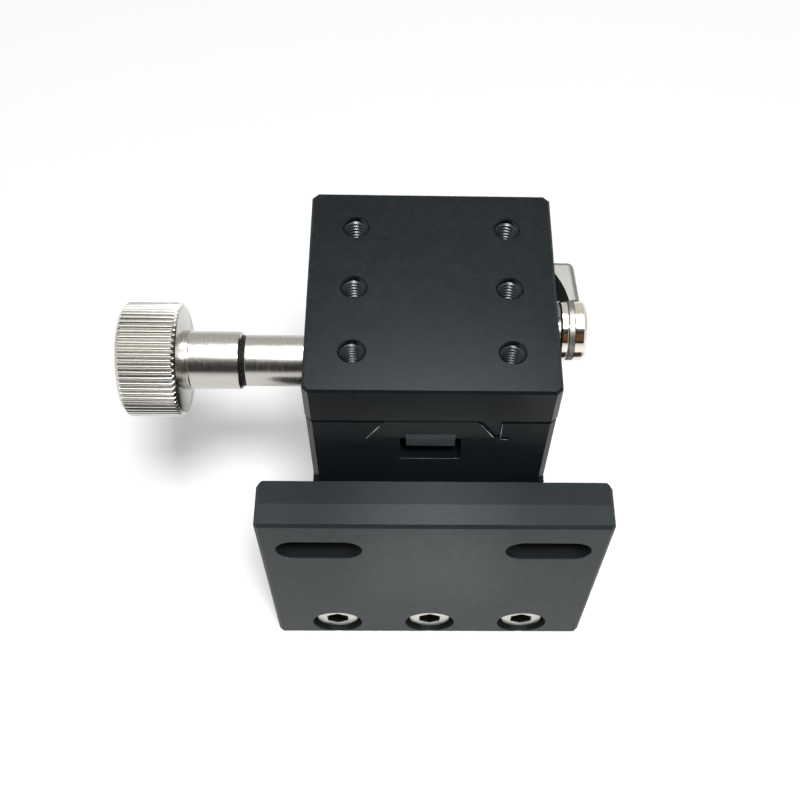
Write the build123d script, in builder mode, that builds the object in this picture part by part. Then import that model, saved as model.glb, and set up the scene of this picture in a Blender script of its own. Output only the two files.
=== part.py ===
from build123d import *
import math
import os

os.makedirs("parts", exist_ok=True)

# A 40 mm rack-and-pinion dovetail stage on an angle foot, lying on its back plate.
# Origin: on the resting plane, under the centre of the table. +Z is up through the table,
# +Y is the travel, away from the foot plate, and +X points from the knob to the clamp lever.

# ---------------------------------------------------------------- driving dimensions, mm
# Stack of plates, from the resting plane up
back_thick = 11.0
riser_height = 39.2
body_height = 19.0
slide_gap = 0.3
table_thick = 8.5
table_size = 40.0
body_width = 39.8
travel = 10.0  # each way from the middle

# Edges
corner_chamfer = 1.0
plate_edge = 0.6
table_edge = 0.4
small_edge = 0.3

# Foot plate, back plate and riser
foot_width = 62.0
foot_height = 49.7
foot_thick = 8.8
foot_offset = 1.1  # the foot sits this far towards the clamp
foot_corner = 1.2
slot_length = 15.4
slot_width = 6.7
slot_pitch = 40.8
slot_height = 40.2
foot_screw_pitch = 18.8
foot_screw_height = 5.5
back_width = 46.0
channel_height = 11.0
channel_web = 19.0
channel_fillet = 1.5
riser_screw_pitch_x = 18.8
riser_screw_pitch_y = 24.0

# Dovetail, gib and rack
dovetail_half_tip = 10.3
dovetail_bottom = 64.5
dovetail_angle = 60.0
flank_play = 0.04
groove_floor = 64.35
gib_wall = 11.2
relief_wall = 12.65
relief_height = 0.65
gib_length = 39.0
rack_half_width = 4.0
rack_tip = 61.7
rack_back = 65.7
rack_corner = 0.5
channel_half = 5.0
channel_floor = 58.0
stop_x = -7.0
stop_radius = 1.0
stop_play = 0.05
stop_slot_roof = 66.0

# Gearing
module = 0.5
pinion_teeth = 20
pressure_angle = math.radians(20.0)
tooth_play = 0.16
pinion_half_width = 4.3
pocket_radius = 6.2

# Pinion shaft and knob, from the body outwards along -X
shaft_radius = 2.5
bush_play = 0.03
bush_radius = 3.5
sleeve_radius = 4.5
sleeve_end = -32.15
sleeve_inner_end = -6.0
sleeve_chamfer = 0.3
ring_play = 0.05
hub_start = -32.6
hub_radius = 5.05
hub_chamfer = 0.4
knob_start = -42.7
knob_end = -52.8
knob_radius = 9.95
knob_rim = 0.7
knurl_count = 60
knurl_depth = 0.45
knurl_crest = 0.36  # width of a ridge at its crest

# Clamp, from the body outwards along +X
clamp_height = 66.9
clamp_thread = 1.5
clamp_play = 0.04
clamp_radius = 5.0
collar_start = 21.5
lever_start = 23.0
cap_start = 23.8
cap_end = 25.9
lever_reach = 12.9
lever_half_height = 2.7

# Sockets, heads and threads: thread radius, head radius, head height, socket across flats
m5_head = (2.5, 4.25, 5.0, 4.0)
m3_head = (1.5, 2.75, 3.0, 2.5)
m25_head = (1.25, 2.25, 2.5, 2.0)
m4_thread = 2.0

# ---------------------------------------------------------------- levels and lengths from them
riser_top = back_thick + riser_height
body_top = riser_top + body_height
table_bottom = body_top + slide_gap
table_top = table_bottom + table_thick
half = table_size / 2
body_half = body_width / 2
foot_face = -half - foot_thick
pitch_radius = module * pinion_teeth / 2
tooth_pitch = math.pi * module
shaft_height = rack_tip + module - pitch_radius
shaft_axis = Axis((0, 0, shaft_height), (1, 0, 0))
clamp_axis = Axis((0, 0, clamp_height), (1, 0, 0))
flank_run = 1 / math.tan(math.radians(dovetail_angle))
centred = (Align.CENTER, Align.CENTER, Align.CENTER)


def flank_x(height):
    """Half-width of the table's dovetail at a height."""
    return dovetail_half_tip - (height - dovetail_bottom) * flank_run


def drill_x(x_from, x_to, radius, y, height, mode=Mode.SUBTRACT):
    """A round hole, or a pin with Mode.ADD, along X in the part being built."""
    with Locations(((x_from + x_to) / 2, y, height)):
        Cylinder(radius, x_to - x_from, rotation=(0, 90, 0), align=centred, mode=mode)


def drill_z(x, y, z_from, z_to, radius, mode=Mode.SUBTRACT):
    """A round hole, or a pin with Mode.ADD, along Z in the part being built."""
    with Locations((x, y, (z_from + z_to) / 2)):
        Cylinder(radius, z_to - z_from, align=centred, mode=mode)


def cap_screw(size, length):
    """Socket-head cap screw hanging from the origin: head top at z = 0, shank down -Z."""
    thread, head, head_height, flats = size
    with BuildPart() as screw:
        with BuildSketch():
            Circle(head)
        extrude(amount=-head_height)
        chamfer(screw.faces().sort_by(Axis.Z)[-1].edges(), 0.08 * head)
        with BuildSketch():
            RegularPolygon(flats / 2, 6, major_radius=False)
        extrude(amount=-0.55 * head_height, mode=Mode.SUBTRACT)
        with BuildSketch(Plane.XY.offset(-head_height)):
            Circle(thread)
        extrude(amount=-length)
        chamfer(screw.faces().sort_by(Axis.Z)[0].edges(), 0.2 * thread)
    return screw.part


def grub_screw(thread, length, flats):
    """Set screw with its socket at z = 0 and its flat tip down -Z."""
    with BuildPart() as screw:
        with BuildSketch():
            Circle(thread)
        extrude(amount=-length)
        chamfer(screw.faces().sort_by(Axis.Z)[0].edges(), 0.3 * thread)
        with BuildSketch():
            RegularPolygon(flats / 2, 6, major_radius=False)
        extrude(amount=-0.4 * length, mode=Mode.SUBTRACT)
    return screw.part


# ---------------------------------------------------------------- foot plate and its screws
foot_back = Plane.XZ.offset(half)
foot_front = Plane(origin=(foot_offset, foot_face, 0), x_dir=(1, 0, 0), z_dir=(0, -1, 0))
slot_centres = [(side * slot_pitch / 2, slot_height) for side in (-1, 1)]
foot_screw_centres = [(side * foot_screw_pitch, foot_screw_height) for side in (-1, 0, 1)]
foot_bore_radius = 5.0
foot_bore_depth = 5.85
m5_clearance = 2.75

with BuildPart() as foot_plate:
    with BuildSketch(foot_back):
        with Locations((foot_offset, foot_height / 2)):
            Rectangle(foot_width, foot_height)
    extrude(amount=foot_thick)
    fillet(foot_plate.edges().filter_by(Axis.Y).group_by(Axis.Z)[0], foot_corner)
    chamfer(foot_plate.edges().filter_by(Axis.Z).group_by(Axis.Y)[-1], corner_chamfer)
    chamfer(foot_plate.edges().filter_by(Axis.Y).group_by(Axis.Z)[-1], plate_edge)
    chamfer(foot_plate.faces().sort_by(Axis.Y)[0].edges(), plate_edge)
    with BuildSketch(foot_front):
        with Locations(*slot_centres):
            SlotOverall(slot_length, slot_width)
    extrude(amount=-foot_thick, mode=Mode.SUBTRACT)
    with Locations(foot_front):
        with Locations(*foot_screw_centres):
            CounterBoreHole(m5_clearance, foot_bore_radius, foot_bore_depth, foot_thick)
foot_plate.part.label = "foot_plate"
export_step(foot_plate.part, "parts/foot_plate.step")

foot_screw_length = 16.0
foot_head_face = foot_face + foot_bore_depth - m5_head[2]
foot_screw_plane = foot_front.offset(foot_face - foot_head_face)

with BuildPart() as foot_screws:
    with Locations(foot_screw_plane):
        with Locations(*foot_screw_centres):
            add(cap_screw(m5_head, foot_screw_length))
foot_screws.part.label = "foot_screws"
export_step(foot_screws.part, "parts/foot_screws.step")

# ---------------------------------------------------------------- back plate, riser and their screws
foot_thread_depth = 15.0
riser_bore_radius = 4.75
riser_bore_depth = 5.4
riser_screw_length = 20.0
riser_thread_depth = 16.0
back_half = back_width / 2
riser_plane = Plane.XY.rotated((180, 0, 0))

with BuildPart() as back_plate:
    with BuildSketch():
        with Locations((foot_offset, 0)):
            Rectangle(back_width, table_size)
    extrude(amount=back_thick)
    chamfer(back_plate.edges().filter_by(Axis.Z).group_by(Axis.Y)[-1], corner_chamfer)
    chamfer(back_plate.faces().sort_by(Axis.Z)[0].edges().group_by(Axis.Y)[-1], small_edge)
    with Locations(foot_back):
        with Locations(*[(foot_offset + x, z) for x, z in foot_screw_centres]):
            Hole(m5_head[0], foot_thread_depth)
    with Locations(riser_plane):
        with Locations((foot_offset, 0)):
            with GridLocations(riser_screw_pitch_x, riser_screw_pitch_y, 2, 2):
                CounterBoreHole(m5_clearance, riser_bore_radius, riser_bore_depth, back_thick)
back_plate.part.label = "back_plate"
export_step(back_plate.part, "parts/back_plate.step")

with BuildPart() as riser_screws:
    with Locations(riser_plane.offset(m5_head[2] - riser_bore_depth)):
        with Locations((foot_offset, 0)):
            with GridLocations(riser_screw_pitch_x, riser_screw_pitch_y, 2, 2):
                add(cap_screw(m5_head, riser_screw_length))
riser_screws.part.label = "riser_screws"
export_step(riser_screws.part, "parts/riser_screws.step")

stage_screw_x = 15.0
stage_screw_y = 10.0
stage_screw_length = 10.0
stage_thread_depth = 6.5
m3_clearance = 1.6
channel_roof = slot_height + channel_height / 2

with BuildPart() as riser_block:
    with BuildSketch(Plane.XY.offset(back_thick)):
        Rectangle(table_size, table_size)
    extrude(amount=riser_height)
    # Side channels: room for the heads of the screws in the foot plate's slots
    channel_depth = half - channel_web / 2
    with Locations(*[(side * (half - channel_depth / 2), 0, slot_height) for side in (-1, 1)]):
        Box(channel_depth, table_size, channel_height, mode=Mode.SUBTRACT)
    inner_edges = riser_block.edges().filter_by(Axis.Y)
    fillet([edge for edge in inner_edges if abs(edge.center().X) < half - 1], channel_fillet)
    with Locations(riser_plane.offset(-back_thick)):
        with Locations((foot_offset, 0)):
            with GridLocations(riser_screw_pitch_x, riser_screw_pitch_y, 2, 2):
                Hole(m5_head[0], riser_thread_depth)
    # The stage is screwed on from below, through the channels' roof
    with Locations(Plane.XY.offset(riser_top)):
        with GridLocations(2 * stage_screw_x, 2 * stage_screw_y, 2, 2):
            Hole(m3_clearance, riser_top - slot_height)
riser_block.part.label = "riser_block"
export_step(riser_block.part, "parts/riser_block.step")

# ---------------------------------------------------------------- stage body
gib_screw_y = 7.0
bush_step = 2.75  # radius of the bore between the bushes
plug_start = 17.3
plug_depth = 0.1
end_bush_start = 7.0
groove_overcut = 1.0
stop_bottom = 62.0

with BuildPart() as stage_body:
    with BuildSketch(Plane.XY.offset(riser_top)):
        Rectangle(body_width, table_size)
        chamfer(vertices(), corner_chamfer)
    extrude(amount=body_height)
    # Groove: a slanted flank on the left, a straight wall behind the gib on the right
    with BuildSketch(Plane.XZ):
        with BuildLine():
            Polyline(
                (-flank_x(body_top + groove_overcut) - flank_play, body_top + groove_overcut),
                (-flank_x(groove_floor) - flank_play, groove_floor),
                (relief_wall, groove_floor),
                (relief_wall, groove_floor + relief_height),
                (gib_wall, groove_floor + relief_height),
                (gib_wall, body_top + groove_overcut),
                close=True,
            )
        make_face()
        # Channel for the rack under the groove
        with Locations((0, channel_floor)):
            Rectangle(2 * channel_half, groove_floor - channel_floor, align=(Align.CENTER, Align.MIN))
    extrude(amount=half, both=True, mode=Mode.SUBTRACT)
    # Pocket for the pinion, open to the channel
    drill_x(-channel_half, channel_half, pocket_radius, 0, shaft_height)
    with Locations((0, 0, shaft_height)):
        Box(
            2 * channel_half,
            2 * pocket_radius,
            channel_floor - shaft_height,
            align=(Align.CENTER, Align.CENTER, Align.MIN),
            mode=Mode.SUBTRACT,
        )
    # Shaft bores: bearing sleeve on the left, bush and plug on the right
    drill_x(-half, sleeve_inner_end, sleeve_radius, 0, shaft_height)
    drill_x(sleeve_inner_end, end_bush_start, bush_step, 0, shaft_height)
    drill_x(end_bush_start, half, bush_radius, 0, shaft_height)
    # Clamp screw and gib screws through the right wall
    drill_x(gib_wall, half, clamp_thread + clamp_play, 0, clamp_height)
    for y in (-gib_screw_y, gib_screw_y):
        drill_x(gib_wall, half, m3_head[0], y, clamp_height)
    drill_z(stop_x, 0, stop_bottom, groove_floor, stop_radius)
    with Locations(riser_plane.offset(-riser_top)):
        with GridLocations(2 * stage_screw_x, 2 * stage_screw_y, 2, 2):
            Hole(m3_head[0], stage_thread_depth)
stage_body.part.label = "stage_body"
export_step(stage_body.part, "parts/stage_body.step")

with BuildPart() as stage_screws:
    with Locations(riser_plane.offset(m3_head[2] - channel_roof)):
        with GridLocations(2 * stage_screw_x, 2 * stage_screw_y, 2, 2):
            add(cap_screw(m3_head, stage_screw_length))
stage_screws.part.label = "stage_screws"
export_step(stage_screws.part, "parts/stage_screws.step")

# ---------------------------------------------------------------- gib, its screws and the travel stop
gib_top = body_top - 0.1
hidden_gap = 0.05  # room left at the blind end of a screw or washer
gib_screw_length = 6.0

with BuildPart() as gib:
    with BuildSketch(Plane.XZ):
        with BuildLine():
            Polyline(
                (flank_x(groove_floor) + flank_play, groove_floor),
                (gib_wall, groove_floor),
                (gib_wall, gib_top),
                (flank_x(gib_top) + flank_play, gib_top),
                close=True,
            )
        make_face()
    extrude(amount=gib_length / 2, both=True)
gib.part.label = "gib"
export_step(gib.part, "parts/gib.step")

with BuildPart() as gib_screws:
    with Locations(Plane(origin=(gib_wall + gib_screw_length, 0, clamp_height), z_dir=(1, 0, 0))):
        with Locations((0, -gib_screw_y), (0, gib_screw_y)):
            add(grub_screw(m3_head[0], gib_screw_length, 1.5))
gib_screws.part.label = "gib_screws"
export_step(gib_screws.part, "parts/gib_screws.step")

with BuildPart() as travel_stop_pin:
    drill_z(stop_x, 0, stop_bottom, rack_back, stop_radius, Mode.ADD)
    chamfer(travel_stop_pin.faces().sort_by(Axis.Z)[-1].edges(), small_edge)
travel_stop_pin.part.label = "travel_stop_pin"
export_step(travel_stop_pin.part, "parts/travel_stop_pin.step")

# ---------------------------------------------------------------- table, rack and rack screws
table_holes_x = 25.0
table_holes_y = 12.5
hole_mouth = 2.25
rack_screw_y = 15.0
rack_screw_length = 6.0
rack_bore_radius = 2.4
rack_bore_depth = 2.6
stop_slot_half_width = 1.15
stop_slot_half = travel + stop_radius + stop_play

with BuildPart() as table:
    with BuildSketch(Plane.XY.offset(table_bottom)):
        Rectangle(table_size, table_size)
        chamfer(vertices(), corner_chamfer)
    extrude(amount=table_thick)
    chamfer(table.faces().sort_by(Axis.Z)[-1].edges(), table_edge)
    chamfer(table.faces().sort_by(Axis.Z)[0].edges(), small_edge)
    with BuildSketch(Plane.XZ):
        with BuildLine():
            Polyline(
                (-flank_x(table_bottom), table_bottom),
                (-dovetail_half_tip, dovetail_bottom),
                (dovetail_half_tip, dovetail_bottom),
                (flank_x(table_bottom), table_bottom),
                close=True,
            )
        make_face()
        # Seat that the rack is let into
        with Locations((0, dovetail_bottom)):
            seat = (2 * rack_half_width, rack_back - dovetail_bottom)
            Rectangle(*seat, align=(Align.CENTER, Align.MIN), mode=Mode.SUBTRACT)
    extrude(amount=half, both=True)
    # Slot for the travel stop pin
    with Locations((stop_x, 0, dovetail_bottom)):
        Box(
            2 * stop_slot_half_width,
            2 * stop_slot_half,
            stop_slot_roof - dovetail_bottom,
            align=(Align.CENTER, Align.CENTER, Align.MIN),
            mode=Mode.SUBTRACT,
        )
    with Locations(Plane.XY.offset(table_top)):
        with GridLocations(table_holes_x, table_holes_y, 2, 3):
            CounterSinkHole(m4_thread, hole_mouth, table_thick)
    for y in (-rack_screw_y, rack_screw_y):
        drill_z(0, y, rack_back, rack_back + rack_screw_length, m25_head[0])
table.part.label = "table"
export_step(table.part, "parts/table.step")

addendum = module
dedendum = 1.25 * module
tooth_slope = math.tan(pressure_angle)
rack_pitch_line = rack_tip + addendum
rack_root = rack_pitch_line + dedendum
half_tooth = (tooth_pitch - tooth_play) / 4
rack_tooth_count = 2 * math.ceil(half / tooth_pitch)

with BuildPart() as rack:
    with BuildSketch(Plane.YZ):
        with BuildLine():
            # Teeth stand either side of y = 0, so that a space faces the pinion there
            first = -(rack_tooth_count - 1) / 2 * tooth_pitch
            outline = [(first - tooth_pitch / 2, rack_back)]
            for tooth in range(rack_tooth_count):
                centre = first + tooth * tooth_pitch
                foot = half_tooth + dedendum * tooth_slope
                tip = half_tooth - addendum * tooth_slope
                outline.append((centre - foot, rack_root))
                outline.append((centre - tip, rack_tip))
                outline.append((centre + tip, rack_tip))
                outline.append((centre + foot, rack_root))
            outline.append((-first + tooth_pitch / 2, rack_back))
            Polyline(*outline, close=True)
        make_face()
    extrude(amount=rack_half_width, both=True)
    # Trim to length and round the long lower edges
    with BuildSketch(Plane.XZ):
        with Locations((0, rack_tip)):
            Rectangle(2 * rack_half_width, rack_back - rack_tip, align=(Align.CENTER, Align.MIN))
        fillet(vertices().group_by(Axis.Y)[0], rack_corner)
    extrude(amount=half, both=True, mode=Mode.INTERSECT)
    for y in (-rack_screw_y, rack_screw_y):
        drill_z(0, y, rack_tip, rack_tip + rack_bore_depth, rack_bore_radius)
        drill_z(0, y, rack_tip, rack_back, m25_head[0])
rack.part.label = "rack"
export_step(rack.part, "parts/rack.step")

with BuildPart() as rack_screws:
    with Locations(riser_plane.offset(-(rack_tip + rack_bore_depth - m25_head[2]))):
        with Locations((0, -rack_screw_y), (0, rack_screw_y)):
            add(cap_screw(m25_head, rack_screw_length))
rack_screws.part.label = "rack_screws"
export_step(rack_screws.part, "parts/rack_screws.step")

# ---------------------------------------------------------------- shaft bearings, fixed in the body
outer_bush_start = sleeve_end + 1.0
bush_length = 6.0

with BuildPart() as bearing_sleeve:
    drill_x(sleeve_end, sleeve_inner_end, sleeve_radius, 0, shaft_height, Mode.ADD)
    chamfer(bearing_sleeve.faces().sort_by(Axis.X)[0].edges(), sleeve_chamfer)
    drill_x(sleeve_end, sleeve_inner_end, bush_radius, 0, shaft_height)
bearing_sleeve.part.label = "bearing_sleeve"
export_step(bearing_sleeve.part, "parts/bearing_sleeve.step")


def plain_bush(x_start, name):
    """A sintered bush around the shaft, bush_length long."""
    with BuildPart() as bush:
        drill_x(x_start, x_start + bush_length, bush_radius, 0, shaft_height, Mode.ADD)
        drill_x(x_start, x_start + bush_length, shaft_radius + bush_play, 0, shaft_height)
    bush.part.label = name
    export_step(bush.part, f"parts/{name}.step")


plain_bush(outer_bush_start, "outer_bush")
plain_bush(sleeve_inner_end - bush_length, "inner_bush")
plain_bush(end_bush_start, "end_bush")

with BuildPart() as bore_plug:
    drill_x(plug_start, body_half - plug_depth, bush_radius, 0, shaft_height, Mode.ADD)
    chamfer(bore_plug.faces().sort_by(Axis.X)[-1].edges(), small_edge)
bore_plug.part.label = "bore_plug"
export_step(bore_plug.part, "parts/bore_plug.step")

# ---------------------------------------------------------------- pinion shaft and pinion
shaft_inner_end = 12.6
shaft_outer_end = knob_end + 2.4
washer_radius = 4.0
washer_thick = 0.6

with BuildPart() as pinion_shaft:
    drill_x(shaft_outer_end, shaft_inner_end, shaft_radius, 0, shaft_height, Mode.ADD)
    chamfer(pinion_shaft.faces().filter_by(Axis.X).edges(), small_edge)
pinion_shaft.part.label = "pinion_shaft"
export_step(pinion_shaft.part, "parts/pinion_shaft.step")

base_radius = pitch_radius * math.cos(pressure_angle)
tip_radius = pitch_radius + addendum
root_radius = pitch_radius - dedendum
half_tooth_angle = half_tooth / pitch_radius


def involute(angle):
    """The involute function, tan a - a."""
    return math.tan(angle) - angle


def flank_point(radius, side, tooth):
    """Point of an involute flank in the pinion's plane; tooth 0 points straight up."""
    roll = math.acos(base_radius / radius) if radius > base_radius else 0
    lean = half_tooth_angle + involute(pressure_angle) - involute(roll)
    turn = 2 * math.pi * tooth / pinion_teeth + side * lean
    return (radius * math.sin(turn), shaft_height + radius * math.cos(turn))


with BuildPart() as pinion:
    with BuildSketch(Plane.YZ):
        with BuildLine():
            for tooth in range(pinion_teeth):
                for side in (-1, 1):
                    root = flank_point(root_radius, side, tooth)
                    base = flank_point(base_radius, side, tooth)
                    middle = flank_point(pitch_radius + 0.1, side, tooth)
                    tip = flank_point(tip_radius, side, tooth)
                    Line(root, base)
                    ThreePointArc(base, middle, tip)
                Line(flank_point(tip_radius, -1, tooth), flank_point(tip_radius, 1, tooth))
                Line(flank_point(root_radius, 1, tooth), flank_point(root_radius, -1, tooth + 1))
        make_face()
    extrude(amount=pinion_half_width, both=True)
    drill_x(-pinion_half_width, pinion_half_width, shaft_radius, 0, shaft_height)
pinion.part.label = "pinion"
export_step(pinion.part, "parts/pinion.step")

with BuildPart() as thrust_washers:
    for side in (-1, 1):
        inner = side * (pinion_half_width + hidden_gap)
        outer = inner + side * washer_thick
        drill_x(min(inner, outer), max(inner, outer), washer_radius, 0, shaft_height, Mode.ADD)
        drill_x(min(inner, outer), max(inner, outer), shaft_radius, 0, shaft_height)
thrust_washers.part.label = "thrust_washers"
export_step(thrust_washers.part, "parts/thrust_washers.step")

# ---------------------------------------------------------------- knob, hub and friction ring
spigot_radius = 4.0
spigot_end = knob_end + 2.0
hub_screw_x = -38.0
hub_screw_length = 2.4
ring_radius = 4.5
collar_radius = 5.2
collar_end = -41.6
collar_edge = 0.15
knob_cup_radius = 7.0
knob_cup_depth = 0.8

with BuildPart() as friction_ring:
    ring_from = hub_start + ring_play
    ring_to = sleeve_end - ring_play
    drill_x(ring_from, ring_to, ring_radius, 0, shaft_height, Mode.ADD)
    drill_x(ring_from, ring_to, shaft_radius, 0, shaft_height)
friction_ring.part.label = "friction_ring"
export_step(friction_ring.part, "parts/friction_ring.step")

with BuildPart() as knob_hub:
    with BuildSketch(Plane.XZ):
        with BuildLine():
            Polyline(
                (hub_start, shaft_height + shaft_radius),
                (hub_start, shaft_height + hub_radius - hub_chamfer),
                (hub_start - hub_chamfer, shaft_height + hub_radius),
                (collar_end + collar_edge, shaft_height + hub_radius),
                (collar_end, shaft_height + collar_radius),
                (knob_start, shaft_height + collar_radius),
                (knob_start, shaft_height + spigot_radius),
                (spigot_end, shaft_height + spigot_radius),
                (spigot_end, shaft_height + shaft_radius),
                close=True,
            )
        make_face()
    revolve(axis=shaft_axis)
    # Threaded hole for the set screw, on the far side of the hub
    with Locations(Plane(origin=(hub_screw_x, hub_radius, shaft_height), z_dir=(0, 1, 0))):
        Hole(m3_head[0], hub_radius - shaft_radius + hub_chamfer)
knob_hub.part.label = "knob_hub"
export_step(knob_hub.part, "parts/knob_hub.step")

with BuildPart() as hub_set_screw:
    screw_face = shaft_radius + hub_screw_length
    with Locations(Plane(origin=(hub_screw_x, screw_face, shaft_height), z_dir=(0, 1, 0))):
        add(grub_screw(m3_head[0], hub_screw_length, 1.5))
hub_set_screw.part.label = "hub_set_screw"
export_step(hub_set_screw.part, "parts/hub_set_screw.step")

with BuildPart() as knob:
    with BuildSketch(Plane.YZ.offset(knob_end)):
        with BuildLine():
            valley = knob_radius - knurl_depth
            half_ridge = math.pi / knurl_count
            half_crest = knurl_crest / 2 / knob_radius
            corners = ((valley, -half_ridge), (knob_radius, -half_crest), (knob_radius, half_crest))
            outline = []
            for ridge in range(knurl_count):
                for radius, lean in corners:
                    angle = 2 * half_ridge * ridge + lean
                    outline.append((radius * math.sin(angle), shaft_height + radius * math.cos(angle)))
            Polyline(*outline, close=True)
        make_face()
    extrude(amount=knob_start - knob_end)
    # Turned outline: plain chamfers at both rims and a shallow cup in the outer face
    with BuildSketch(Plane.XZ):
        with BuildLine():
            Polyline(
                (knob_start, shaft_height + spigot_radius),
                (knob_start, shaft_height + knob_radius - knob_rim),
                (knob_start - knob_rim, shaft_height + knob_radius),
                (knob_end + knob_rim, shaft_height + knob_radius),
                (knob_end, shaft_height + knob_radius - knob_rim),
                (knob_end, shaft_height + knob_cup_radius),
                (knob_end + knob_cup_depth, shaft_height + knob_cup_radius - knob_cup_depth),
                (knob_end + knob_cup_depth, shaft_height),
                (spigot_end, shaft_height),
                (spigot_end, shaft_height + spigot_radius),
                close=True,
            )
        make_face()
    revolve(axis=shaft_axis, mode=Mode.INTERSECT)
knob.part.label = "knob"
export_step(knob.part, "parts/knob.step")

# ---------------------------------------------------------------- clamp screw, collar, lever and cap
stud_inner_end = gib_wall + hidden_gap
shoulder_start = 20.4
shoulder_radius = 2.2
stud_outer_end = cap_end - 1.2
collar_face_edge = 0.25
cap_edge = 0.5
cap_slot_width = 0.8
cap_slot_depth = 0.7
lever_heel = (23.6, 3.5)
lever_waist = (22.73, 7.29)
lever_shoulder = (20.6, 11.4)
lever_outer_x = 25.74
lever_taper = 0.96
lever_corner = 1.2
lever_tip_radius = 1.0
cheek_clearance = 0.15

with BuildPart() as clamp_screw:
    drill_x(stud_inner_end, stud_outer_end, clamp_thread, 0, clamp_height, Mode.ADD)
    drill_x(shoulder_start, collar_start, shoulder_radius, 0, clamp_height, Mode.ADD)
clamp_screw.part.label = "clamp_screw"
export_step(clamp_screw.part, "parts/clamp_screw.step")

with BuildPart() as clamp_collar:
    drill_x(collar_start, lever_start, clamp_radius, 0, clamp_height, Mode.ADD)
    chamfer(clamp_collar.faces().sort_by(Axis.X)[0].edges(), collar_face_edge)
    drill_x(collar_start, lever_start, clamp_thread, 0, clamp_height)
clamp_collar.part.label = "clamp_collar"
export_step(clamp_collar.part, "parts/clamp_collar.step")

with BuildPart() as clamp_lever:
    # Arm in plan: straight outer edge, hollow inner edge that sweeps in towards the body
    with BuildSketch(Plane.XY.offset(clamp_height)):
        with BuildLine():
            ThreePointArc(lever_heel, lever_waist, lever_shoulder)
            Polyline(
                lever_shoulder,
                (lever_shoulder[0], lever_reach),
                (lever_outer_x - lever_taper, lever_reach),
                (lever_outer_x, 0),
                (lever_heel[0], 0),
                lever_heel,
            )
        make_face()
        fillet(vertices().group_by(Axis.Y)[-1].sort_by(Axis.X)[-1], lever_corner)
    extrude(amount=lever_half_height, both=True)
    tip_edges = clamp_lever.edges().filter_by(Axis.X).group_by(Axis.Y)[-1]
    fillet(tip_edges, lever_tip_radius)
    # The outer cheek stands clear of the cap
    drill_x(cap_start, cap_end, clamp_radius + cheek_clearance, 0, clamp_height)
    drill_x(lever_start, cap_start, clamp_radius, 0, clamp_height, Mode.ADD)
    drill_x(lever_start, cap_start, clamp_thread, 0, clamp_height)
clamp_lever.part.label = "clamp_lever"
export_step(clamp_lever.part, "parts/clamp_lever.step")

with BuildPart() as clamp_cap:
    drill_x(cap_start, cap_end, clamp_radius, 0, clamp_height, Mode.ADD)
    chamfer(clamp_cap.faces().sort_by(Axis.X)[-1].edges(), cap_edge)
    with Locations((cap_end, 0, clamp_height)):
        Box(2 * cap_slot_depth, 3 * clamp_radius, cap_slot_width, mode=Mode.SUBTRACT)
    drill_x(cap_start, stud_outer_end, clamp_thread, 0, clamp_height)
clamp_cap.part.label = "clamp_cap"
export_step(clamp_cap.part, "parts/clamp_cap.step")
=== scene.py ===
import math

import bmesh
import bpy
from mathutils import Matrix, Vector


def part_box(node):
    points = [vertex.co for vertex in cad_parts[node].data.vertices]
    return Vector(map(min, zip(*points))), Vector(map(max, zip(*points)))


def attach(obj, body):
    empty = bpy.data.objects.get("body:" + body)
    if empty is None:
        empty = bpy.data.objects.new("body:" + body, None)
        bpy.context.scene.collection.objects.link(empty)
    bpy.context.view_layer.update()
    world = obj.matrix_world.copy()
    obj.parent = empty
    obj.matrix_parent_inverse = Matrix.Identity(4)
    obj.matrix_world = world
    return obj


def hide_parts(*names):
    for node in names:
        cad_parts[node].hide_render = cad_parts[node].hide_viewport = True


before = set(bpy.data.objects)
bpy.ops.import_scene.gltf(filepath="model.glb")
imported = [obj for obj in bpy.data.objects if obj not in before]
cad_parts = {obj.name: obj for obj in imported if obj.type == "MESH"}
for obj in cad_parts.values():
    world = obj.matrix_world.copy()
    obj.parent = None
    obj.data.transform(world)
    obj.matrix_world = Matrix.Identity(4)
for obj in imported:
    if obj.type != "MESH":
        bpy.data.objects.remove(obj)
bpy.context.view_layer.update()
mm = 0.001

# ------------------------------------------------------------------ back plate and riser
# Two milled aluminium blocks, bead blasted and anodised black. The plate lies at the very bottom;
# the riser stands on it, and its side channels leave room for the heads of the slot screws.


def new_finish(name):
    """An empty procedural finish: the material, its node tree and its surface shader."""
    finish = bpy.data.materials.new(name)
    finish.use_nodes = True
    tree = finish.node_tree
    return finish, tree, tree.nodes["Principled BSDF"]


def add_node(tree, kind, **inputs):
    """One node, with its input sockets set by name (underscores stand for spaces)."""
    node = tree.nodes.new(kind)
    for socket, value in inputs.items():
        node.inputs[socket.replace("_", " ")].default_value = value
    return node


def grain(tree, scale, stretch=(1, 1, 1), detail=3.0, roughness=0.55):
    """Noise in the piece's own coordinates; scale is cells per metre, stretch squeezes it per axis."""
    place = tree.nodes.new("ShaderNodeTexCoord")
    squeeze = tree.nodes.new("ShaderNodeMapping")
    squeeze.inputs["Scale"].default_value = stretch
    noise = add_node(tree, "ShaderNodeTexNoise", Scale=scale, Detail=detail, Roughness=roughness)
    tree.links.new(place.outputs["Object"], squeeze.inputs["Vector"])
    tree.links.new(squeeze.outputs["Vector"], noise.inputs["Vector"])
    return noise.outputs["Fac"]


def ramp(tree, source, stops):
    """A colour ramp; stops are (position, colour)."""
    blend = tree.nodes.new("ShaderNodeValToRGB")
    elements = blend.color_ramp.elements
    while len(elements) < len(stops):
        elements.new(0.5)
    for element, (position, colour) in zip(elements, stops):
        element.position = position
        element.color = (*colour, 1)
    tree.links.new(source, blend.inputs["Fac"])
    return blend.outputs["Color"]


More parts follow.
